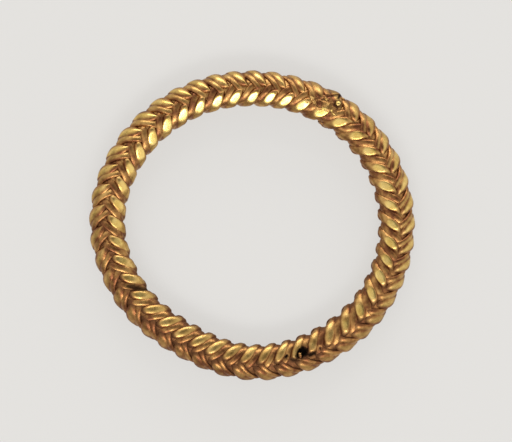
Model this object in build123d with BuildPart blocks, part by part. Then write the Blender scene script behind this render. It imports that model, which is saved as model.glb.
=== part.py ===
from build123d import *
from collections import namedtuple
from math import atan, cos, pi, radians, sin, tau
import os

# A braided finger ring. Eight gold strands, four turning each way round the braid,
# pass over two and under two of the others, which gives four rows of slanting
# crests, and the braid is bent into a slightly oval loop with one join.
# The ring lies on its side: Z runs through the finger hole, the lowest crests
# touch z = 0, and the middle of the ring is at x = y = 0.

# Driving sizes, in millimetres
bore_diameter = 17.3  # finger hole from crest to crest, mean of the oval
crest_spacing = 1.375  # from one crest of a row to the next, along the braid
strand_width = 0.62  # body of a strand where it lies on top
strand_thickness = 0.41  # along the radius of the braid
core_radius = 0.215  # hollow left along the middle of the braid
crossing_clearance = 0.12  # between strands where they cross
lane_clearance = 0.09  # between neighbours in the hidden layer
crest_clearance = 0.05  # between neighbours on the outside
join_clearance = 0.06  # between strand ends at the join, along the braid
join_angle = 54.4  # where the join is, in degrees from +X towards +Y

# Shares that shape the weave and a strand's section
crest_sharpness = 0.18  # 0 gives a plain wave, more gives a flatter top and a steeper dive
flat_share = 0.36  # half of the flat top, as a share of the body's half width
thinning = 1.5  # how fast the width follows the wave away from a crest
wing_share = 0.95  # part of the free lane beside the body that the wing fills

# Strands of each hand, and the row of crests that each hand makes, as the angle
# round the braid from the outward direction towards +Z
strand_numbers = (1, 2, 3, 4)
hands = {"left": 1, "right": -1}
inner_front_row = radians(135)
quarter = tau / len(strand_numbers)

# Sections of a strand for each half turn, in degrees on from a crest
section_turns = (-24, 0, 24, 45, 68, 112, 135)

# Corners of a section: across in half widths of the body, out in half thicknesses,
# and whether the wing is added there
Corner = namedtuple("Corner", "across out wing")
corners = (
    Corner(-1.00, 0.0, 0),
    Corner(-0.36, 1.0, 0),
    Corner(0.36, 1.0, 0),
    Corner(1.00, -0.1, 1),
    Corner(0.50, -1.0, 0),
    Corner(-0.36, -1.0, 0),
)

# The ring's course, by the angle in degrees. reach is the middle line's distance from
# the centre as a share of its mean. roll is the lean of the face groove away from the
# hole, as a share of a full turn: the braid twists a little round the ring, and the
# join takes that twist back. lead is how many crests the weave is ahead of even spacing.
Row = namedtuple("Row", "angle reach roll lead")
course = (
    Row(0, 1.035, 0.069, 0.31),
    Row(30, 1.021, 0.069, 0.30),
    Row(50, 0.999, 0.061, 0.11),
    Row(66, 0.981, 0.036, -0.10),
    Row(90, 0.970, 0.022, 0.11),
    Row(120, 0.985, 0.019, 0.08),
    Row(150, 1.014, 0.019, -0.10),
    Row(180, 1.031, 0.025, -0.17),
    Row(210, 0.993, 0.044, -0.31),
    Row(240, 0.952, 0.069, -0.38),
    Row(270, 0.987, 0.050, -0.03),
    Row(300, 1.001, 0.072, 0.32),
    Row(330, 1.028, 0.061, 0.22),
)


def course_value(angle, column):
    """A column of the course at an angle, on a smooth closed curve through its rows."""
    angle = angle % 360
    place = max(i for i, row in enumerate(course) if row.angle <= angle)
    knots = []
    for i in range(place - 1, place + 3):
        row = course[i % len(course)]
        knots.append((row.angle + 360 * (i // len(course)), getattr(row, column)))
    (angle_0, value_0), (angle_1, value_1), (angle_2, value_2), (angle_3, value_3) = knots
    span = angle_2 - angle_1
    share = (angle - angle_1) / span
    rise_1 = (value_2 - value_0) / (angle_2 - angle_0) * span
    rise_2 = (value_3 - value_1) / (angle_3 - angle_1) * span
    ease = 3 * share**2 - 2 * share**3
    bow_1 = share**3 - 2 * share**2 + share
    bow_2 = share**3 - share**2
    return value_1 * (1 - ease) + value_2 * ease + rise_1 * bow_1 + rise_2 * bow_2


def wave(turn):
    """Height of a left-hand strand in the weave: 1 on a crest, -1 in the hidden layer."""
    return (cos(2 * turn) - crest_sharpness * cos(6 * turn)) / (1 - crest_sharpness)


# The strands need room to cross, so their sway follows from their thickness and width,
# and the braid's radius, the ring's middle line and the number of crests follow from that
hidden_radius = core_radius + strand_thickness / 2
sway = strand_thickness / 2
for _ in range(30):
    crest_radius = hidden_radius + 2 * sway
    braid_radius = crest_radius + strand_thickness / 2
    middle_radius = bore_diameter / 2 + braid_radius
    crests = round(tau * middle_radius / crest_spacing)
    mean_spacing = tau * middle_radius / crests
    lean = atan(tau * crest_radius / (len(strand_numbers) * mean_spacing))
    shoulder = pi / 8 + flat_share * strand_width / 2 * cos(lean) / crest_radius
    sway = (strand_thickness + crossing_clearance) / 2 / wave(shoulder)
rest_radius = hidden_radius + sway

first_count = join_clearance / 2 / mean_spacing
last_count = crests - first_count


def crests_at(angle):
    """Crests passed from the join up to an angle."""
    even = (angle - join_angle) / 360 * crests
    return even + course_value(angle, "lead") - course_value(join_angle, "lead")


def angle_at(count):
    """Angle where a number of crests has been passed, found by halving."""
    low = join_angle + (count - 2) / crests * 360
    high = join_angle + (count + 2) / crests * 360
    for _ in range(40):
        angle = (low + high) / 2
        if crests_at(angle) < count:
            low = angle
        else:
            high = angle
    return angle


def middle(angle):
    """Point of the braid's middle line."""
    reach = middle_radius * course_value(angle, "reach")
    return Vector(reach * cos(radians(angle)), reach * sin(radians(angle)), 0)


def along(angle):
    """Direction of the middle line towards rising angles."""
    return (middle(angle + 0.05) - middle(angle - 0.05)).normalized()


def start_turn(hand, number):
    """Turn of a strand half a crest after the join."""
    offset = 0 if hand > 0 else quarter / 2
    return quarter * (number - 1) + offset


def place(hand, number, count):
    """Centre of a strand, its spoke from the middle line, and its turn and height."""
    angle = angle_at(count)
    turn = start_turn(hand, number) + hand * quarter * (count - 0.5)
    lean_out = tau * course_value(angle, "roll")
    bearing = inner_front_row - lean_out + turn
    outward = along(angle).cross(Vector(0, 0, 1))
    spoke = outward * cos(bearing) + Vector(0, 0, 1) * sin(bearing)
    height = hand * wave(turn)
    radius = rest_radius + sway * height
    return middle(angle) + spoke * radius, spoke, turn, height


def section(hand, number, count):
    """The corners of a strand's section where a number of crests has been passed."""
    centre, spoke, turn, height = place(hand, number, count)
    ahead = place(hand, number, count + 0.001)[0] - place(hand, number, count - 0.001)[0]
    angle = angle_at(count)
    across = ahead.cross(spoke).normalized()
    if across.dot(along(angle)) < 0:
        across = -across

    # The lane that a strand has between its neighbours, with the bend of the ring in it
    outward = along(angle).cross(Vector(0, 0, 1))
    radius = rest_radius + sway * height
    travel = (middle(angle + 0.5) - middle(angle - 0.5)).length
    spacing = travel / (crests_at(angle + 0.5) - crests_at(angle - 0.5))
    spacing *= 1 + radius * spoke.dot(outward) / middle_radius
    lane = spacing * sin(atan(tau * radius / (len(strand_numbers) * spacing)))

    # The body is widest on a crest, and the wing fills the lane beside it there
    rank = min(max((1 + height) / 2, 0), 1) ** thinning
    hidden_width = lane - lane_clearance
    crest_width = strand_width * spacing / mean_spacing
    body = min(hidden_width, hidden_width * (1 - rank) + crest_width * rank)
    openness = max(0, hand * cos(2 * turn)) ** thinning
    wing = max(0, lane - crest_clearance - body) * wing_share * openness

    points = []
    for corner in corners:
        sideways = corner.across * body / 2 + corner.wing * wing
        outwards = corner.out * strand_thickness / 2
        points.append(centre + across * sideways + spoke * outwards)
    return points


def section_counts(hand, number):
    """Where a strand has its sections: at its two ends, and at set turns from each crest."""
    counts = [first_count, last_count]
    crest_turn = 0 if hand > 0 else pi / 2
    for half_turn in range(-crests, crests + 1):
        for degrees_on in section_turns:
            turn = crest_turn + pi * half_turn + radians(degrees_on)
            count = 0.5 + (turn - start_turn(hand, number)) / (hand * quarter)
            if first_count + 0.04 < count < last_count - 0.04:
                counts.append(count)
    return sorted(counts)


def facets(rings):
    """Flat faces between neighbouring sections of a strand, and its two ends."""
    faces = [Face(Wire.make_polygon(rings[0])), Face(Wire.make_polygon(rings[-1]))]
    for ring, next_ring in zip(rings, rings[1:]):
        for i in range(len(corners)):
            j = (i + 1) % len(corners)
            faces.append(Face(Wire.make_polygon([ring[i], ring[j], next_ring[j]])))
            faces.append(Face(Wire.make_polygon([ring[i], next_ring[j], next_ring[i]])))
    return faces


# All strands first, so that the ring can be set down on z = 0 about its middle
strands = {}
for hand_name, hand in hands.items():
    for number in strand_numbers:
        name = f"{hand_name}_strand_{number}"
        strands[name] = [section(hand, number, count) for count in section_counts(hand, number)]

points = [point for rings in strands.values() for ring in rings for point in ring]
middle_x = (min(point.X for point in points) + max(point.X for point in points)) / 2
middle_y = (min(point.Y for point in points) + max(point.Y for point in points)) / 2
lowest = min(point.Z for point in points)
set_down = Vector(middle_x, middle_y, lowest)

os.makedirs("parts", exist_ok=True)
for name, rings in strands.items():
    placed = [[point - set_down for point in ring] for ring in rings]
    with BuildPart() as strand:
        add(Solid(Shell(facets(placed))))
    strand.part.label = name
    export_step(strand.part, f"parts/{name}.step")
    print(name, "sections", len(rings), "volume", round(strand.part.volume, 2))

print("crests in a row", crests, "braid across crests", round(2 * braid_radius, 3))
print("middle radius", round(middle_radius, 3), "sway", round(sway, 3), "set down by", set_down)
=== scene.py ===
from collections import namedtuple
from math import cos, degrees, pi, radians, sin, sqrt, tau

import bmesh
import bpy
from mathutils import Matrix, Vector, noise


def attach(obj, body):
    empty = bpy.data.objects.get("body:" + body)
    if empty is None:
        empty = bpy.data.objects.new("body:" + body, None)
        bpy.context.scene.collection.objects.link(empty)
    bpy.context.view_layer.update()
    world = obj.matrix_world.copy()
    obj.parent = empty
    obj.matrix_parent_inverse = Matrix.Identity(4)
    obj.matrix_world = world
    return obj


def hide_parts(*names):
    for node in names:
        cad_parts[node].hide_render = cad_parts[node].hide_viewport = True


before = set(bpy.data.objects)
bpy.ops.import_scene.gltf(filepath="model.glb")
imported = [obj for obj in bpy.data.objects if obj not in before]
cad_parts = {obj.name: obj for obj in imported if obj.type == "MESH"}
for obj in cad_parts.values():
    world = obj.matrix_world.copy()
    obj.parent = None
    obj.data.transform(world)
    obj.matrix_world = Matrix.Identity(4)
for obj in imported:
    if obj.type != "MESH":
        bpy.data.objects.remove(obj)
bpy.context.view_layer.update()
mm = 0.001
up = Vector((0, 0, 1))
print("frame loaded")


# The weave, in millimetres, close to that of the CAD strands
weave = {
    "crests": 45,
    "middleRadius": 9.79,
    "restRadius": 0.725,
    "sway": 0.295,
    "plateau": 2.3,  # how long a wire stays on top before it dives
    "crown": 0.4,  # how much of the wave is a plain arch
    "packed": 0.4,  # how deep the dives are against the crests
    "widening": 12,  # degrees that the front rows reach into the back rows' room
    "lap": 0.75,  # how far the inner front row reaches back as the braid rolls
    "broad": 1.09,  # how much wider than high the braid is
    "innerFrontRow": 135,  # degrees round the braid, from outward towards the face
    "joinAngle": 54.4,
    "joinGap": 0.06,
    "setDown": (0.026, -0.100, -1.225),  # where the CAD's origin is from the ring's centre
    "slipZone": 0.6,  # how far round the braid the slip between the rows is spread
    "leadRounds": 9,  # how often a place's lead is worked out again until it settles
    "directionSpan": 0.1,  # degrees to each side that give the direction of the middle line
    "spacingSpan": 0.5,  # degrees to each side that give the crests' spacing
    "narrowest": 0.04,  # the least room between strands, squared, as a share of their spacing
}
strandNumbers = (1, 2, 3, 4)
hands = {"left": 1, "right": -1}
meanSpacing = tau * weave["middleRadius"] / weave["crests"]
setDown = Vector(weave["setDown"])

# The ring's course: reach of the middle line, roll of the braid as a share of a turn, how many
# crests the weave is ahead of even spacing, how many the outer rows are ahead of the inner,
# how clean the outer rows are, which also sets how bright their painted highlight is round the
# ring, how dark the painted shade in the recesses is round the ring, and how worn the inner row
Row = namedtuple("Row", "angle reach roll lead slip clean grime worn")
course = (
    Row(0, 1.035, 0.059, 0.25, 0.38, 0.76, 0.75, 1.0),
    Row(30, 1.021, 0.059, 0.27, 0.48, 0.66, 0.50, 1.0),
    Row(50, 0.999, 0.051, 0.10, 0.30, 0.42, 0.45, 1.0),
    Row(66, 0.981, 0.026, -0.11, 0.03, 0.30, 0.40, 1.0),
    Row(90, 0.970, 0.012, 0.085, 0.20, 0.50, 0.25, 1.0),
    Row(120, 0.985, 0.009, 0.05, 0.03, 0.62, 0.28, 1.0),
    Row(150, 1.014, 0.009, -0.14, -0.02, 0.75, 0.55, 0.95),
    Row(180, 1.031, 0.015, -0.19, 0.0, 0.40, 0.90, 0.85),
    Row(210, 0.993, 0.034, -0.335, -0.06, 0.20, 1.1, 0.55),
    Row(240, 0.952, 0.059, -0.43, -0.08, 0.12, 1.15, 0.28),
    Row(270, 0.987, 0.040, -0.23, 0.30, 0.20, 1.15, 0.15),
    Row(300, 1.001, 0.062, 0.18, 0.90, 0.20, 1.1, 0.42),
    Row(330, 1.028, 0.051, 0.01, 0.48, 0.48, 0.95, 1.0),
)


def courseAt(angle, column):
    # a smooth closed curve through one column of the course
    angle = angle % 360
    place = max(i for i, row in enumerate(course) if row.angle <= angle)
    knots = []
    for i in range(place - 1, place + 3):
        row = course[i % len(course)]
        knots.append((row.angle + 360 * (i // len(course)), getattr(row, column)))
    (angle0, value0), (angle1, value1), (angle2, value2), (angle3, value3) = knots
    span = angle2 - angle1
    share = (angle - angle1) / span
    rise1 = (value2 - value0) / (angle2 - angle0) * span
    rise2 = (value3 - value1) / (angle3 - angle1) * span
    ease = 3 * share**2 - 2 * share**3
    bow1 = share**3 - 2 * share**2 + share
    bow2 = share**3 - share**2
    return value1 * (1 - ease) + value2 * ease + rise1 * bow1 + rise2 * bow2


def angleAt(count):
    # the angle where that many crests have been passed from the join
    angle = weave["joinAngle"] + count / weave["crests"] * 360
    start = courseAt(weave["joinAngle"], "lead")
    for _ in range(weave["leadRounds"]):
        lead = courseAt(angle, "lead") - start
        angle = weave["joinAngle"] + (count - lead) / weave["crests"] * 360
    return angle


def middleAt(angle):
    reach = weave["middleRadius"] * courseAt(angle, "reach")
    return Vector((reach * cos(radians(angle)), reach * sin(radians(angle)), 0)) - setDown


def alongAt(angle):
    span = weave["directionSpan"]
    return (middleAt(angle + span) - middleAt(angle - span)).normalized()


def waveAt(turn, roll):
    # 1 where the left wires are on top, -1 where the right ones are
    inward = cos(turn - pi / 4)
    turn -= radians(weave["widening"]) * inward + tau * roll * weave["lap"] * max(inward, 0)
    steep = sin(pi / 2 * min(max(weave["plateau"] * cos(2 * turn), -1), 1))
    return weave["crown"] * cos(2 * turn) + (1 - weave["crown"]) * steep


def startTurn(hand, number):
    offset = 0 if hand > 0 else pi / 4
    return pi / 2 * (number - 1) + offset


def mix(pair, share):
    return pair[0] * (1 - share) + pair[1] * share


def smooth(low, high, value):
    share = min(max((value - low) / (high - low), 0), 1)
    return share * share * (3 - 2 * share)


# One place along a strand: its centre line, the directions there, and how much room it has
Station = namedtuple(
    "Station", "count angle middle outward bearing spoke centre turn height across lane")


def stationAt(hand, number, count):
    angle = angleAt(count)
    turn = startTurn(hand, number) + hand * pi / 2 * (count - 0.5)
    roll = courseAt(angle, "roll")
    bearing = radians(weave["innerFrontRow"]) - tau * roll + turn
    outerRow = cos(turn - (pi if hand > 0 else -pi / 2))
    slipped = smooth(-weave["slipZone"], weave["slipZone"], outerRow)
    angle += courseAt(angle, "slip") * 360 / weave["crests"] * slipped
    middle = middleAt(angle)
    outward = alongAt(angle).cross(up)
    spoke = outward * cos(bearing) + up * sin(bearing)
    height = hand * waveAt(turn, roll)
    rise = weave["sway"] * (height if height > 0 else weave["packed"] * height)
    centre = middle + roundBraid(outward, bearing, weave["restRadius"] + rise)
    return Station(count, angle, middle, outward, bearing, spoke, centre, turn, height, None, None)


def roundBraid(outward, bearing, reach):
    return (outward * cos(bearing) * weave["broad"] + up * sin(bearing)) * reach


def strandStations(hand, number, steps):
    # even steps along the strand, with the direction across it and the room to the next strand
    first = weave["joinGap"] / 2 / meanSpacing
    last = weave["crests"] - first
    stations = [stationAt(hand, number, first + (last - first) * i / steps) for i in range(steps + 1)]
    done = []
    for i, here in enumerate(stations):
        ahead = stations[min(i + 1, steps)].centre - stations[max(i - 1, 0)].centre
        ahead = (ahead - here.spoke * ahead.dot(here.spoke)).normalized()
        across = ahead.cross(here.spoke)
        along = alongAt(here.angle)
        if across.dot(along) < 0:
            across = -across
        before, after = here.angle - weave["spacingSpan"], here.angle + weave["spacingSpan"]
        travel = (middleAt(after) - middleAt(before)).length / (after - before)
        lead = (courseAt(after, "lead") - courseAt(before, "lead")) / (after - before)
        spacing = travel / (weave["crests"] / 360 + lead)
        spacing *= 1 + (here.centre - here.middle).dot(here.outward) / weave["middleRadius"]
        lane = spacing * sqrt(max(1 - ahead.dot(along) ** 2, weave["narrowest"]))
        done.append(here._replace(across=across, lane=lane))
    return done


# The heavy wire that makes the crests, and the lower one that fills the room beside it.
# Widths and offsets are shares of the room between two strands, the rest is in millimetres.
# Pairs are for the dive and for the crest
heavyWire = {
    "around": 28,
    "steps": 760,
    "halfWidth": (0.36, 0.36),
    "offset": (-0.10, 0.0),
    "halfThickness": (0.18, 0.205),
    "squareness": 2.1,
    "sink": 0.0,  # how far its middle lies below the heavy wire's on a crest
    "spread": (0.11, 0.03, 0.0),  # width, offset and sink added where it goes down into the hole
    "outer": (0.04, 0.0, 0.0),  # the same, added in the outer rows
    "taper": 0.50,  # how much narrower it is where it dives
    "leaf": 0.60,  # how pointed it is in the outer rows where the braid isn't rolled
    "flatness": 0.86,
    "polish": 1.0,
    "ridge": (0.46, 1.0),  # how clean its back is in the inner rows, and its share in the outer; the clean back also paints a highlight
    "edge": -1,  # the side that meets the next strand
}
lowWire = {
    "around": 18,
    "steps": 640,
    "halfWidth": (0.26, 0.28),
    "offset": (0.42, 0.46),
    "halfThickness": (0.15, 0.16),
    "squareness": 2.0,
    "sink": 0.135,
    "spread": (0.04, 0.0, -0.06),
    "outer": (-0.05, -0.06, -0.05),
    "taper": -0.30,
    "leaf": 0.0,
    "flatness": 0.0,
    "polish": 0.0,
    "ridge": (0.08, 0.42),
    "edge": 1,
}

# The worn flats: how far they lean from the row towards the face, in degrees, and their depth
wearLook = {
    "inner": (16, 0.105),
    "outer": (6, 0.045),
    "rolled": (290, 0.05),  # how much more the outer flats lean with the roll, and where they end
    "uneven": 0.35,
    "fineness": (1.3, 2.1),  # of the unevenness from crest to crest and from strand to strand
    "jitter": 0.05,  # how unevenly the flats face
    "seeds": (3.1, 9.5, 1.7),  # where in the noise the two leans are read
    "levelled": 0.95,  # how closely the section follows the flat
    "levelWithin": (58, 22),  # degrees between the flat's direction and the wire's
    "edge": (-0.012, 0.02),  # how softly the flat is cut, in millimetres
    "fade": (-0.04, 0.0, 0.02),  # where the polish starts, is half and is full, in millimetres
}

# How the wires come out into the open. Pairs are the ends of a fade
layLook = {
    "opened": (-0.3, 0.7),  # in the wave's height
    "holeSide": (-0.6, -0.97),  # in the cosine of the bearing round the braid
    "outerSide": (-0.2, 0.5),
    "rolled": (0.02, 0.05),  # in the braid's roll
    "leafTaper": 0.4,  # how much more a pointed wire narrows towards the groove
    "wobble": 0.012,  # unevenness in millimetres
    "wobbleFineness": 2.2,
}

# Where the wires are clean and where they are grimy, and where shade is painted: the deep
# places, the creases, the braid's outer edge and the dives are darkened as painted shade, the
# hole side is darker too, and the clean gold back also paints a highlight. Triples are the ends
# of a fade and how dark it is
toneLook = {
    "outerSide": (-0.25, 0.35),
    "innerCleanAndLight": (0.7, 0.35, 0.2),  # the mean, and how much less at the right and on the far side: painted light, brighter clean backs towards the left and near side
    "dirtyFlank": 0.40,  # how high up its section a wire is dirty
    "dirtyOuter": 0.15,  # added in the outer rows
    "dirtyRolled": 0.25,  # added in the outer rows where the braid is rolled
    "dirtyDive": 0.97,  # how high up where the wire dives
    "deep": (0.06, 0.36, 1.0),  # in millimetres below the crests
    "outerEdge": (0.84, 0.98, 0.5),  # in the direction from the braid's middle, 1 for outward
    "holeEdge": (-0.80, -0.97, 0.6),
    "holeRoll": 2.5,  # how much the hole side's dirt moves with the roll
    "crease": (0.75, 1.0, 0.85),  # across the wire
    "dive": (0.62, 0.08, 0.8),  # in the nearness to the crest
    "grooveDive": (0.88, 0.25, 0.85),
}


# Pits, holes and dark places on the face: angle round the ring, place out from the braid's
# middle line, half length and half width, direction of the length in degrees, depth, how dark it
# is painted (near black in the hole as painted shade), and how far the rim stands up. Lengths
# are in millimetres
Mark = namedtuple("Mark", "angle out length width turn depth dark rim")
marks = (
    Mark(291.5, -0.10, 0.55, 0.38, 42, 0.45, 1.0, 0.02),
    Mark(294.9, 0.28, 0.40, 0.14, 20, 0.12, 0.9, 0.0),
    Mark(287.5, 0.22, 0.36, 0.13, 15, 0.06, 0.6, 0.0),
    Mark(284.8, -0.17, 0.17, 0.13, 40, 0.24, 1.0, 0.03),
    Mark(298.9, 0.15, 0.11, 0.09, 60, 0.09, 0.8, 0.04),
    Mark(339.9, -0.43, 0.08, 0.07, 0, 0.07, 0.7, 0.02),
    Mark(209.1, -0.50, 0.80, 0.20, -12, 0.14, 0.85, 0.0),
    Mark(60.6, 0.02, 0.28, 0.18, 150, 0.09, 0.2, 0.04),
    Mark(55.0, 1.12, 0.24, 0.09, 60, 0.15, 0.9, 0.0),
    Mark(54.0, 0.62, 0.33, 0.30, 0, 0.05, 0.7, 0.0),
)

# How a mark fades out, in shares of its size
markLook = {
    "faceFrom": 0.1,  # how far above the braid's middle the marks start, in millimetres
    "reach": 1.6,
    "ragged": 0.3,  # how uneven its edge is
    "raggedFineness": 5,
    "wall": (0.35, 1.0),
    "rimRise": (0.7, 1.1),
    "rimFall": (1.1, 1.5),
    "dark": (0.7, 1.25),
}


def markPlaces():
    places = []
    for mark in marks:
        outward = alongAt(mark.angle).cross(up)
        places.append((middleAt(mark.angle) + outward * mark.out, mark))
    return places


def pressMarks(point, spots):
    # the point pushed down into the marks, how dark it is there and how far inside
    look = markLook
    darkness = pressed = 0
    if point.z < look["faceFrom"] - setDown.z:
        return point, darkness, pressed
    for spot, mark in spots:
        away = point - spot
        if away.x**2 + away.y**2 > (look["reach"] * mark.length) ** 2:
            continue
        turn = radians(mark.turn)
        reach = Vector(((away.x * cos(turn) + away.y * sin(turn)) / mark.length,
                        (away.y * cos(turn) - away.x * sin(turn)) / mark.width, 0))
        fine = look["raggedFineness"]
        rough = noise.noise(Vector((away.x * fine, away.y * fine, mark.angle)))
        reach = reach.length * (1 + look["ragged"] * rough)
        inside = 1 - smooth(*look["wall"], reach)
        rim = smooth(*look["rimRise"], reach) * (1 - smooth(*look["rimFall"], reach))
        point = point + up * (mark.rim * rim - mark.depth * inside)
        darkness = max(darkness, mark.dark * (1 - smooth(*look["dark"], reach)))
        pressed = max(pressed, inside)
    return point, darkness, pressed


def crestOf(hand, turn):
    # the turn of the nearest crest
    offset = 0 if hand > 0 else pi / 2
    return offset + pi * round((turn - offset) / pi)


def sectionAt(phase, squareness):
    # a round to square section, one unit each way
    sideways, outwards = cos(phase), sin(phase)
    size = (abs(sideways) ** squareness + abs(outwards) ** squareness) ** (-1 / squareness)
    return sideways * size, outwards * size


# The wire at one station: how far it is in the open, how near to its crest, whether it heads
# for the groove, the braid's roll there, and the size, squareness and middle of its section
Section = namedtuple("Section", "opened nearCrest grooveward roll halfWidth thick square middle")


def sectionOf(here, crestTurn, wire):
    opened = smooth(*layLook["opened"], here.height)
    inHole = opened * smooth(*layLook["holeSide"], cos(here.bearing))
    outer = opened * smooth(*layLook["outerSide"], cos(here.bearing))
    halfWidth, offset, sink = (hole * inHole + out * outer
                               for hole, out in zip(wire["spread"], wire["outer"]))
    past = here.turn - crestTurn
    nearCrest = max(cos(2 * past), 0)
    grooveward = 1 if past * sin(2 * (here.bearing - past)) > 0 else 0
    roll = courseAt(here.angle, "roll")
    inOuterRow = cos(here.bearing - past) > 0
    leaf = wire["leaf"] * (1 - smooth(*layLook["rolled"], roll)) if inOuterRow else 0
    taper = wire["taper"] + layLook["leafTaper"] * leaf * grooveward
    halfWidth += mix(wire["halfWidth"], opened)
    halfWidth *= here.lane * (1 - taper * (1 - nearCrest))
    offset += mix(wire["offset"], opened)
    sink += wire["sink"] * opened
    middle = here.centre + here.across * here.lane * offset - here.spoke * sink
    thick = mix(wire["halfThickness"], opened)
    square = wire["squareness"] - leaf * max(nearCrest, grooveward)
    return Section(opened, nearCrest, grooveward, roll, halfWidth, thick, square, middle)


def levelWith(here, flatNormal, opened):
    # the section's outward and sideways directions, turned level with the worn flat
    ahead = here.spoke.cross(here.across)
    level = (flatNormal - ahead * flatNormal.dot(ahead)).normalized()
    far, near = (cos(radians(angle)) for angle in wearLook["levelWithin"])
    levelled = wearLook["levelled"] * opened * smooth(far, near, flatNormal.dot(here.spoke))
    away = (here.spoke * (1 - levelled) + level * levelled).normalized()
    across = (here.across - away * here.across.dot(away)).normalized()
    return away, across


def wearDown(point, flatPoint, flatNormal, wire):
    # the point cut down to the worn flat, and how polished it is
    over = (point - flatPoint).dot(flatNormal)
    start, half, full = wearLook["fade"]
    polished = (smooth(start, half, over) + smooth(half, full, over)) / 2
    if over > wearLook["edge"][0]:
        point = point - flatNormal * over * smooth(*wearLook["edge"], over) * wire["flatness"]
    return point, polished * wire["polish"]


def cleanBackAndHighlight(here, section, wire):
    # how clean the wire's back is, and how high up its section that starts; the clean gold back is
    # also a painted highlight along the ridge, brighter towards the left and near side of the ring
    outerShare = smooth(*toneLook["outerSide"], cos(here.bearing))
    mean, lessRight, lessFar = toneLook["innerCleanAndLight"]
    way = radians(here.angle)
    inner = wire["ridge"][0] * (mean - lessRight * cos(way) - lessFar * sin(way))
    outer = wire["ridge"][1] * courseAt(here.angle, "clean")
    rolled = smooth(*layLook["rolled"], section.roll)
    start = toneLook["dirtyOuter"] + toneLook["dirtyRolled"] * rolled
    start = toneLook["dirtyFlank"] + start * outerShare
    start = mix((toneLook["dirtyDive"], start), section.nearCrest)
    return mix((inner, outer), outerShare) * section.opened, start


def fade(name, value):
    start, end, strength = toneLook[name]
    return strength * smooth(start, end, value)


def grimeAndShadeOn(point, here, section, across):
    # how dark the point is painted: tarnish with painted shade in the deep places, in the creases
    # between strands, at the braid's outer edge and where the wire dives, and darker towards the hole
    # side
    fromMiddle = point - here.middle
    fromMiddle -= here.outward * fromMiddle.dot(here.outward) * (1 - 1 / weave["broad"])
    depth = weave["restRadius"] + weave["sway"] + heavyWire["halfThickness"][1] - fromMiddle.length
    facing = fromMiddle.normalized().dot(here.outward)
    return max(fade("deep", depth), fade("crease", across), fade("outerEdge", facing),
               fade("holeEdge", facing - toneLook["holeRoll"] * section.roll),
               fade("dive", section.nearCrest),
               fade("grooveDive", section.nearCrest) * section.grooveward)


def layWire(bm, layers, hand, number, wire, spots):
    # a grid bent round the strand's course, its long edges joined and its ends closed
    stations = strandStations(hand, number, wire["steps"])
    around, steps = wire["around"], wire["steps"]
    grid = bmesh.ops.create_grid(bm, x_segments=around, y_segments=steps, size=1)["verts"]
    flats = {}
    travelled = 0
    for i, here in enumerate(stations):
        travelled += (here.centre - stations[max(i - 1, 0)].centre).length
        crestTurn = crestOf(hand, here.turn)
        if crestTurn not in flats:
            flats[crestTurn] = wornFlat(hand, number, crestTurn, wire)
        flatPoint, flatNormal = flats[crestTurn]
        section = sectionOf(here, crestTurn, wire)
        away, across = levelWith(here, flatNormal, section.opened)
        cleanAndHighlit, cleanFrom = cleanBackAndHighlight(here, section, wire)
        grime = courseAt(here.angle, "grime")
        for j in range(around + 1):
            sideways, outwards = sectionAt(tau * (j % around) / around, section.square)
            point = section.middle + across * section.halfWidth * sideways
            point += away * section.thick * outwards
            wobble = noise.noise(point * layLook["wobbleFineness"])
            point += here.spoke * layLook["wobble"] * wobble
            point, worn = wearDown(point, flatPoint, flatNormal, wire)
            # the clean back: rubbed gold that also paints a highlight streak along the ridge
            worn = max(worn, cleanAndHighlit * smooth(cleanFrom, 1.0, outwards))
            point, darkness, pressed = pressMarks(point, spots)
            vert = grid[i * (around + 1) + j]
            vert.co = point * mm
            # the low layer: tarnish with painted shade in the recesses, creases and dives
            dirtAndShade = grime * grimeAndShadeOn(point, here, section, sideways * wire["edge"])
            values = (worn * (1 - pressed), dirtAndShade, darkness, travelled, sideways * section.halfWidth)
            paint(vert, layers, values)
    bmesh.ops.remove_doubles(bm, verts=grid, dist=mergeDistance)


def wornFlat(hand, number, crestTurn, wire):
    # where the flat of a crest touches and which way it faces
    count = 0.5 + (crestTurn - startTurn(hand, number)) / (hand * pi / 2)
    here = stationAt(hand, number, count)
    inside = cos(here.bearing) < 0
    onFace = sin(here.bearing) > 0
    degreesLeant, wearDepth = wearLook["inner" if inside else "outer"]
    rolled = courseAt(here.angle, "roll")
    if inside:
        wearDepth *= courseAt(here.angle, "worn")
    else:
        moreLean, lastRoll = wearLook["rolled"]
        degreesLeant += moreLean * rolled * (1 if onFace else -1)
        wearDepth *= max(1 - rolled / lastRoll, 0)
    lean = -radians(degreesLeant) if inside == onFace else radians(degreesLeant)
    there = stationAt(hand, number, count + lean / (hand * pi / 2))
    first, apart, second = wearLook["seeds"]
    jitter = Vector((noise.noise(Vector((count, number, first * hand))),
                     noise.noise(Vector((count, number + apart, second * hand))), 0))
    normal = (there.spoke + jitter * wearLook["jitter"]).normalized()
    crestRadius = weave["restRadius"] + weave["sway"] + wire["halfThickness"][1] - wire["sink"]
    alongCrests, alongStrands = wearLook["fineness"]
    rough = noise.noise(Vector((count * alongCrests, number * alongStrands, hand)))
    depth = wearDepth * (1 + wearLook["uneven"] * rough)
    top = roundBraid(there.outward, there.bearing, crestRadius).dot(normal)
    return there.middle + normal * (top - depth), normal


# What the gold's material reads at each point: how worn it is (its clean gold back also a painted
# highlight), how dirty and shaded (low: tarnish with painted shade in the recesses, creases and
# dives), how dark (painted dark in the marks, a painted shade in the hole), and its place along
# and across the wire
layerNames = ("wear", "low", "dark", "along", "side")
mergeDistance = 0.0005 * mm


def addLayers(bm):
    return [bm.verts.layers.float.new(name) for name in layerNames]


def paint(vert, layers, values):
    for layer, value in zip(layers, values):
        vert[layer] = value


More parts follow.
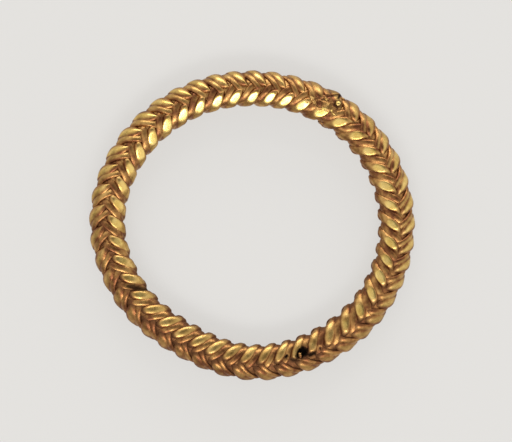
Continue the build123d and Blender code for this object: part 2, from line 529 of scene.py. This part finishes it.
def finishPiece(bm, name, material):
    bmesh.ops.recalc_face_normals(bm, faces=bm.faces)
    for face in bm.faces:
        face.smooth = True
    mesh = bpy.data.meshes.new(name)
    bm.to_mesh(mesh)
    bm.free()
    piece = bpy.data.objects.new(name, mesh)
    bpy.context.scene.collection.objects.link(piece)
    mesh.materials.append(material)
    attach(piece, "root")
    return piece


def makeStrand(handName, number, material):
    bm = bmesh.new()
    layers = addLayers(bm)
    for wire in (heavyWire, lowWire):
        layWire(bm, layers, hands[handName], number, wire, markPlaces())
    edges = [edge for edge in bm.edges if edge.is_boundary]
    bmesh.ops.holes_fill(bm, edges=edges, sides=0)
    piece = finishPiece(bm, f"{handName}_wires_{number}", material)
    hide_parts(f"{handName}_strand_{number}")


# Gold, yellow where it is worn and reddish brown where it isn't, with painted shade in the low
# places and a painted highlight in the worn gold of the wires' backs
goldLook = {
    "worn": (0.86, 0.58, 0.15, 1),
    "wornPale": (0.91, 0.67, 0.24, 1),
    "tarnish": (0.20, 0.076, 0.032, 1),
    "tarnishLight": (0.38, 0.165, 0.055, 1),
    "crevice": (0.17, 0.078, 0.036, 1),
    "hole": (0.012, 0.008, 0.006, 1),
    "mottle": (1500, 4, 0.6),  # scale per metre, detail and roughness
    "grain": (7000, 3, 0.6),
    "scratches": (1.4, 26.0, 1),  # fineness along the wire and across it, per millimetre
    "scratchDetail": 3,
    # a range and what it becomes
    "wearReach": (0.0, 0.4, 0.04, 0.0),
    "wearPatches": (0.3, 0.7, -0.16, 0.16),
    "palePatches": (0.35, 0.65),
    "tarnishPatches": (0.4, 0.62),
    "deep": (0.35, 0.95, 0.0, 0.9),
    "rough": (0.0, 1.0, 0.37, 0.21),
    "roughGrain": (0.3, 0.7, -0.06, 0.08),
    "roughDeep": (0.0, 1.0, 0.0, 0.4),
    "bump": 0.35,
    "bumpHeight": 0.03,  # in millimetres
    "relief": (0.4, 0.5, 0.5),  # shares of grain, mottle and scratches
}


def makeGold():
    look = goldLook
    material = bpy.data.materials.new("wornGold")
    material.use_nodes = True
    nodes, links = material.node_tree.nodes, material.node_tree.links
    shader = nodes["Principled BSDF"]
    shader.inputs["Metallic"].default_value = 1.0
    place = nodes.new("ShaderNodeTexCoord").outputs["Object"]

    def attribute(name):
        node = nodes.new("ShaderNodeAttribute")
        node.attribute_name = name
        return node.outputs["Fac"]

    def texture(scale, detail, rough):
        node = nodes.new("ShaderNodeTexNoise")
        node.inputs["Scale"].default_value = scale
        node.inputs["Detail"].default_value = detail
        node.inputs["Roughness"].default_value = rough
        links.new(place, node.inputs["Vector"])
        return node.outputs["Fac"]

    def remap(value, fromLow, fromHigh, toLow=0.0, toHigh=1.0):
        node = nodes.new("ShaderNodeMapRange")
        node.inputs["From Min"].default_value = fromLow
        node.inputs["From Max"].default_value = fromHigh
        node.inputs["To Min"].default_value = toLow
        node.inputs["To Max"].default_value = toHigh
        links.new(value, node.inputs["Value"])
        return node.outputs["Result"]

    def math(kind, first, second):
        node = nodes.new("ShaderNodeMath")
        node.operation = kind
        node.use_clamp = True
        for socket, value in zip(node.inputs, (first, second)):
            if isinstance(value, float):
                socket.default_value = value
            else:
                links.new(value, socket)
        return node.outputs["Value"]

    def blend(share, first, second):
        node = nodes.new("ShaderNodeMix")
        node.data_type = "RGBA"
        links.new(share, node.inputs["Factor"])
        for socket, value in zip((node.inputs["A"], node.inputs["B"]), (first, second)):
            if isinstance(value, tuple):
                socket.default_value = value
            else:
                links.new(value, socket)
        return node.outputs["Result"]

    # fine scratches along the wires
    lengthwise = nodes.new("ShaderNodeCombineXYZ")
    links.new(attribute("along"), lengthwise.inputs["X"])
    links.new(attribute("side"), lengthwise.inputs["Y"])
    stretch = nodes.new("ShaderNodeVectorMath")
    stretch.operation = "MULTIPLY"
    stretch.inputs[1].default_value = look["scratches"]
    links.new(lengthwise.outputs["Vector"], stretch.inputs[0])
    scratched = nodes.new("ShaderNodeTexNoise")
    scratched.inputs["Scale"].default_value = 1
    scratched.inputs["Detail"].default_value = look["scratchDetail"]
    links.new(stretch.outputs["Vector"], scratched.inputs["Vector"])
    scratch = scratched.outputs["Fac"]

    mottle = texture(*look["mottle"])
    grain = texture(*look["grain"])
    wear, low, dark = attribute("wear"), attribute("low"), attribute("dark")

    # wear reaches a little past the flats, less so in the low places
    clean = math("ADD", wear, remap(low, *look["wearReach"]))
    clean = math("ADD", clean, remap(mottle, *look["wearPatches"]))
    worn = blend(remap(mottle, *look["palePatches"]), look["worn"], look["wornPale"])
    tarnish = blend(remap(mottle, *look["tarnishPatches"]), look["tarnish"], look["tarnishLight"])
    colour = blend(clean, tarnish, worn)
    # painted shade: the low places, creases and dives turn to the dark crevice colour
    deep = remap(low, *look["deep"])
    colour = blend(deep, colour, look["crevice"])
    # near black in the marks: painted shade inside the hole and the deep pits, darker spots in the
    # shallow ones
    colour = blend(dark, colour, look["hole"])
    links.new(colour, shader.inputs["Base Color"])

    rough = remap(clean, *look["rough"])
    rough = math("ADD", rough, remap(grain, *look["roughGrain"]))
    rough = math("ADD", rough, remap(math("MAXIMUM", deep, dark), *look["roughDeep"]))
    links.new(rough, shader.inputs["Roughness"])

    bump = nodes.new("ShaderNodeBump")
    bump.inputs["Strength"].default_value = look["bump"]
    bump.inputs["Distance"].default_value = look["bumpHeight"] * mm
    grainy, mottled, scratchy = look["relief"]
    relief = math("ADD", math("MULTIPLY", grain, grainy), math("MULTIPLY", mottle, mottled))
    relief = math("ADD", relief, math("MULTIPLY", scratch, scratchy))
    links.new(relief, bump.inputs["Height"])
    links.new(bump.outputs["Normal"], shader.inputs["Normal"])
    return material


gold = makeGold()
for handName in hands:
    for number in strandNumbers:
        makeStrand(handName, number, gold)
print("strands made")


# The rough join: smears of metal over the strands' ends on all four sides, a granule and smaller
# lumps. Angle round the ring and bearing round the braid, both in degrees, half length, half
# width, distance from the middle of the braid, half thickness, how clean it is and how uneven
Lump = namedtuple("Lump", "angle bearing length width level thick clean uneven")
lumps = (
    Lump(58.4, 83, 0.98, 0.60, 1.00, 0.15, 0.15, 0.30),
    Lump(54.6, 175, 0.50, 0.60, 1.02, 0.12, 0.10, 0.30),
    Lump(54.2, 265, 0.60, 0.60, 1.02, 0.12, 0.10, 0.30),
    Lump(54.6, 345, 0.50, 0.50, 1.02, 0.12, 0.10, 0.30),
    Lump(54.0, 59, 0.18, 0.18, 1.16, 0.16, 1.00, 0.05),
    Lump(53.4, 27, 0.12, 0.06, 1.15, 0.08, 0.40, 0.20),
    Lump(54.7, 92, 0.12, 0.09, 1.11, 0.08, 0.90, 0.35),
    Lump(53.0, 97, 0.20, 0.06, 1.10, 0.08, 0.75, 0.35),
    Lump(56.7, 100, 0.18, 0.07, 1.10, 0.08, 0.60, 0.35),
    Lump(57.3, 78, 0.13, 0.10, 1.09, 0.08, 0.25, 0.40),
    Lump(58.8, 65, 0.20, 0.07, 1.10, 0.08, 0.40, 0.40),
    Lump(62.6, 93, 0.17, 0.12, 1.10, 0.07, 0.30, 0.40),
    Lump(64.3, 83, 0.20, 0.10, 1.09, 0.07, 0.30, 0.40),
    Lump(65.6, 102, 0.14, 0.08, 1.10, 0.07, 0.45, 0.40),
    Lump(290.3, 88, 0.10, 0.20, 1.02, 0.09, 0.10, 0.35),
)
lumpLook = {
    "smearFrom": 0.4,  # the half length from which a lump is a smear, which takes marks too
    "fineness": (4, 6),  # of the bits' faces and of the smears'
    "shallow": 0.3,  # the deepest mark that a smear takes
    "coarse": 1.7,  # fineness of the larger unevenness
    "fine": (4.5, 0.6),  # fineness and share of the smaller unevenness
    "ripple": (4.5, 0.035),  # fineness per millimetre, and height in millimetres
    "roughEdge": 0.5,  # how uneven the line between the clean top and the darker foot is
    "cleanTop": (0.1, 0.9),
    "dirtAndShade": (0.25, 0.5),  # dirt everywhere, and darker at the foot as painted shade where it meets the strands
    "foot": (0.8, 0.0),
}


def makeLumps(material):
    look = lumpLook
    bm = bmesh.new()
    layers = addLayers(bm)
    spots = [spot for spot in markPlaces() if spot[1].depth < look["shallow"]]
    fine, fineShare = look["fine"]
    ripples, rippleHeight = look["ripple"]
    for lump in lumps:
        bearing = radians(lump.bearing)
        isSmear = lump.length > look["smearFrom"]
        fineness = look["fineness"][isSmear]
        ball = bmesh.ops.create_icosphere(bm, subdivisions=fineness, radius=1)["verts"]
        for vert in ball:
            way = vert.co.normalized()
            rough = noise.noise(way * look["coarse"] + Vector((lump.angle, bearing, 0)))
            rough += fineShare * noise.noise(way * fine + Vector((0, lump.angle, bearing)))
            size = 1 + lump.uneven * rough
            travelled, sideways = way.x * lump.length * size, way.y * lump.width * size
            angle = lump.angle + degrees(travelled / middleAt(lump.angle).length)
            outward = alongAt(angle).cross(up)
            reach = lump.level + lump.thick * way.z * size
            point = middleAt(angle) + roundBraid(outward, bearing + sideways / lump.level, reach)
            away = (point - middleAt(angle)).normalized()
            point += away * rippleHeight * noise.noise(point * ripples)
            darkness = pressed = 0
            if isSmear:
                point, darkness, pressed = pressMarks(point, spots)
            vert.co = point * mm
            edge = way.z + look["roughEdge"] * rough
            worn = lump.clean * smooth(*look["cleanTop"], edge) * (1 - pressed)
            # darker at the foot: painted shade where the lump meets the strands
            dirtAndShade = look["dirtAndShade"][0] + look["dirtAndShade"][1] * smooth(*look["foot"], edge)
            paint(vert, layers, (worn, dirtAndShade, darkness, travelled, sideways))
    finishPiece(bm, "join_lumps", material)


makeLumps(gold)
print("join made")

# Tarnish packed between the wires, a rough brown body inside the braid
filling = {
    "radius": 0.935,
    "uneven": 0.05,
    "fineness": 3.0,
    "stepsRound": 900,
    "stepsAround": 40,
    # how strongly the recesses' painted shade darkens it
    "low": 0.55,
    "clean": 0.16,
}


def makeFilling(material):
    bm = bmesh.new()
    layers = addLayers(bm)
    spots = markPlaces()
    stepsRound, stepsAround = filling["stepsRound"], filling["stepsAround"]
    grid = bmesh.ops.create_grid(bm, x_segments=stepsAround, y_segments=stepsRound, size=1)["verts"]
    for i in range(stepsRound + 1):
        angle = 360 * (i % stepsRound) / stepsRound
        outward = alongAt(angle).cross(up)
        grime = courseAt(angle, "grime")
        worn = filling["clean"] * max(1 - grime, 0)
        # painted shade: the filling is darkened with the recesses' painted shade
        dirtAndShade = filling["low"] * grime**2
        travelled = angle / 360 * weave["crests"]
        for j in range(stepsAround + 1):
            bearing = tau * (j % stepsAround) / stepsAround
            point = middleAt(angle) + roundBraid(outward, bearing, filling["radius"])
            rough = noise.noise(point * filling["fineness"])
            point += (point - middleAt(angle)) * filling["uneven"] * rough
            point, darkness, pressed = pressMarks(point, spots)
            vert = grid[i * (stepsAround + 1) + j]
            vert.co = point * mm
            paint(vert, layers, (worn, dirtAndShade, darkness, travelled, bearing))
    bmesh.ops.remove_doubles(bm, verts=grid, dist=mergeDistance)
    finishPiece(bm, "tarnish_filling", material)


makeFilling(gold)
print("filling made")


# A plain pale table
table = {
    "size": 0.8,
    "colour": (0.17, 0.167, 0.162, 1),
    "shine": 0.575,  # a little light from below, which softens the shadow
    "rough": 0.9,
    "gloss": 0.1,
}


def makeTable():
    bm = bmesh.new()
    bmesh.ops.create_grid(bm, x_segments=1, y_segments=1, size=table["size"] / 2)
    mesh = bpy.data.meshes.new("table")
    bm.to_mesh(mesh)
    bm.free()
    piece = bpy.data.objects.new("table", mesh)
    bpy.context.scene.collection.objects.link(piece)
    material = bpy.data.materials.new("paleTable")
    material.use_nodes = True
    shader = material.node_tree.nodes["Principled BSDF"]
    shader.inputs["Base Color"].default_value = table["colour"]
    shader.inputs["Emission Color"].default_value = table["colour"]
    shader.inputs["Emission Strength"].default_value = table["shine"] / table["colour"][0]
    shader.inputs["Roughness"].default_value = table["rough"]
    shader.inputs["Specular IOR Level"].default_value = table["gloss"]
    mesh.materials.append(material)


makeTable()


# Soft boxes round the ring: the direction each one comes from, its height above the table
# in degrees, its size and distance in metres, and its power in watts
Lamp = namedtuple("Lamp", "name azimuth height width length distance power")
lamps = (
    Lamp("near", 272, 51, 0.34, 0.13, 0.5, 1.0),
    Lamp("far", 85, 18, 0.60, 0.14, 0.5, 1.0),
    Lamp("farHigh", 88, 37, 0.26, 0.05, 0.5, 0.2),
)

# The studio's walls: a bright band that stands higher on the near side than on the far side.
# Nearness of a direction to the dark patch overhead, and brightness
walls = {
    "colour": (1.0, 0.99, 0.97, 1),
    "darkPatch": (0.25, 0.33, 0.91),
    "band": ((0.0, 0.40), (0.12, 0.60), (0.28, 0.95), (0.50, 1.0), (0.64, 0.92), (0.76, 0.88),
             (0.82, 0.76), (0.88, 0.54), (0.93, 0.28), (1.0, 0.22)),
}


def makeLights():
    for lamp in lamps:
        light = bpy.data.lights.new(lamp.name, "AREA")
        light.shape = "RECTANGLE"
        light.size, light.size_y = lamp.width, lamp.length
        light.energy = lamp.power
        piece = bpy.data.objects.new(lamp.name, light)
        bpy.context.scene.collection.objects.link(piece)
        turn, height = radians(lamp.azimuth), radians(lamp.height)
        way = Vector((cos(turn) * cos(height), sin(turn) * cos(height), sin(height)))
        piece.location = way * lamp.distance
        piece.rotation_mode = "QUATERNION"
        piece.rotation_quaternion = way.to_track_quat("Z", "Y")
    world = bpy.data.worlds.new("studio")
    world.use_nodes = True
    nodes, links = world.node_tree.nodes, world.node_tree.links
    back = nodes["Background"]
    back.inputs["Color"].default_value = walls["colour"]
    direction = nodes.new("ShaderNodeTexCoord").outputs["Generated"]
    nearness = nodes.new("ShaderNodeVectorMath")
    nearness.operation = "DOT_PRODUCT"
    nearness.inputs[1].default_value = walls["darkPatch"]
    links.new(direction, nearness.inputs[0])
    ramp = nodes.new("ShaderNodeValToRGB")
    steps = ramp.color_ramp.elements
    while len(steps) < len(walls["band"]):
        steps.new(1.0)
    for step, (place, bright) in zip(steps, walls["band"]):
        step.position = place
        step.color = (bright, bright, bright, 1)
    links.new(nearness.outputs["Value"], ramp.inputs["Fac"])
    links.new(ramp.outputs["Color"], back.inputs["Strength"])
    bpy.context.scene.world = world


makeLights()

# The camera looks straight down. The photo is 512 by 442 pixels, with the ring's centre
# a little left of and below its middle
view = {
    "pixelsWide": 512,
    "pixelsHigh": 442,
    "pixelsPerMm": 14.25,
    "ringAt": (251.5, 224.0),
    "distance": 0.30,
    "sensor": 36,
    "clip": (0.01, 10),
}


def makeCamera():
    data = bpy.data.cameras.new("camera")
    data.sensor_width = view["sensor"]
    wide = view["pixelsWide"] / view["pixelsPerMm"] * mm
    data.lens = data.sensor_width * view["distance"] / wide
    data.clip_start, data.clip_end = view["clip"]
    camera = bpy.data.objects.new("camera", data)
    bpy.context.scene.collection.objects.link(camera)
    right = (view["pixelsWide"] / 2 - view["ringAt"][0]) / view["pixelsPerMm"] * mm
    rise = (view["ringAt"][1] - view["pixelsHigh"] / 2) / view["pixelsPerMm"] * mm
    centre = -setDown * mm
    camera.location = (centre.x + right, centre.y + rise, centre.z + view["distance"])
    camera.rotation_euler = (0, 0, 0)
    bpy.context.scene.camera = camera


makeCamera()
bpy.context.scene.view_settings.view_transform = "Standard"
print("table, lights and camera made")
